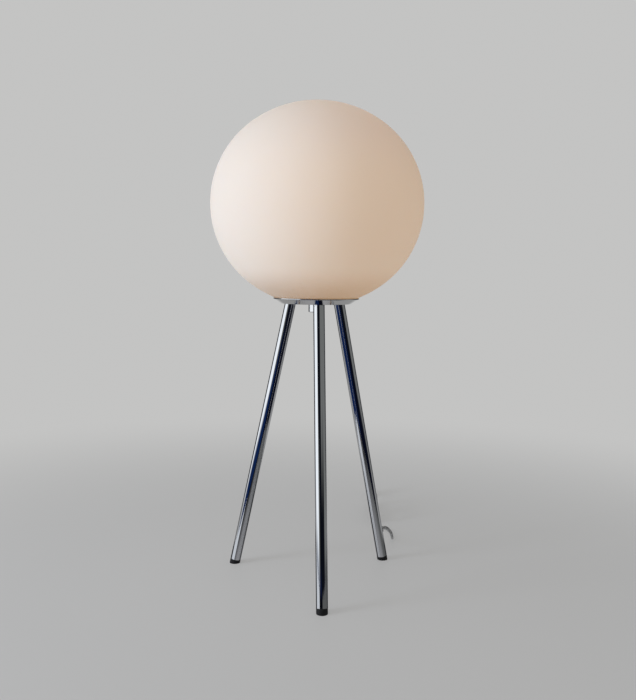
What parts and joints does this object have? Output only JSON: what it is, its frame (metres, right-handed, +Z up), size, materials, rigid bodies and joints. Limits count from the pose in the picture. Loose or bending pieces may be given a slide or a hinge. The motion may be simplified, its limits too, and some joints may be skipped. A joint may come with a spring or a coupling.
{
  "type": "glass globe table lamp",
  "caption": "Table lamp with a large opal glass globe seated in a small chromed dish on three splayed chromed tube legs with rubber feet, a rotary dimmer knob under the dish, and a mains cord",
  "frame": {"origin": "on the standing surface, below the vertical axis of the globe and dish", "axes": "+Z up along the axis of the globe, +Y away from the viewer of the picture, +X to the viewer's right; the front leg points towards -Y, turned 5.5 degrees to the right"},
  "size_m": [0.3, 0.633, 0.6827],
  "materials": {
    "opal_glass": "satin opal glass, etched, warm white",
    "chrome_dish": "polished chrome on spun steel",
    "chrome_tube": "polished chrome on drawn steel tube",
    "chrome_knob": "polished chrome on turned brass",
    "plated_steel": "bright zinc plate",
    "spring_steel": "blued spring steel",
    "turned_brass": "turned brass, fine tool marks",
    "contact_brass": "bright rolled brass",
    "black_rubber": "moulded black rubber",
    "holder_plastic": "black moulded thermoset",
    "holder_ceramic": "unglazed white ceramic",
    "bulb_aluminium": "rolled aluminium thread",
    "bulb_insulator": "dark vitrified insulator with a solder tip",
    "bulb_frosted_glass": "inside-frosted white bulb glass",
    "dimmer_plastic": "black moulded case",
    "terminal_plastic": "natural polyamide",
    "wire_brown": "brown PVC insulation",
    "wire_blue": "blue PVC insulation",
    "clear_cord": "smoky clear PVC over twisted cores",
    "black_strap": "black hook and loop strap",
    "plug_plastic": "smoky moulded PVC",
    "plug_brass": "nickel-plated brass"
  },
  "bodies": {
    "root": {"dish": "chrome_dish", "leg_tube_front": "chrome_tube", "leg_tube_left": "chrome_tube", "leg_tube_right": "chrome_tube", "leg_insert_front": "turned_brass", "leg_insert_left": "turned_brass", "leg_insert_right": "turned_brass", "rubber_foot_front": "black_rubber", "rubber_foot_left": "black_rubber", "rubber_foot_right": "black_rubber", "holder_bridge": "plated_steel", "globe_clip": "spring_steel", "leg_nipples": "plated_steel", "leg_washers": "plated_steel", "leg_nuts": "turned_brass", "holder_nipple": "plated_steel", "holder_nut": "turned_brass", "holder_cap": "holder_plastic", "holder_shell": "holder_plastic", "holder_core": "holder_ceramic", "screw_shell": "contact_brass", "centre_contact": "contact_brass", "bulb_cap": "bulb_aluminium", "bulb_contact": "bulb_insulator", "bulb_glass": "bulb_frosted_glass", "dimmer_body": "dimmer_plastic", "dimmer_nut": "plated_steel", "terminal_block": "terminal_plastic", "terminal_screws": "plated_steel", "wire_supply_live": "wire_brown", "wire_supply_neutral": "wire_blue", "wire_dimmer_feed": "wire_brown", "wire_dimmer_return": "wire_brown", "wire_holder_live": "wire_brown", "wire_holder_neutral": "wire_blue", "cable_in_leg": "clear_cord", "cable_grommet": "black_rubber", "cord": "clear_cord", "cord_hank": "clear_cord", "cord_tail": "clear_cord", "cord_strap": "black_strap", "plug_body": "plug_plastic", "plug_pins": "plug_brass"},
    "globe": {"glass_globe": "opal_glass"},
    "knob": {"dimmer_knob": "chrome_knob", "dimmer_spindle": "turned_brass", "knob_grub_screw": "spring_steel"}
  },
  "joints": [
    {"name": "globe_lift", "type": "slide", "parent": "root", "child": "globe", "axis": [0, 0, 1], "range_m": [0, 0.17]},
    {"name": "dimmer_turn", "type": "hinge", "parent": "root", "child": "knob", "pos_m": [0, 0, 0.395], "axis": [0, 0, 1], "range_deg": [-280, 0]}
  ]
}
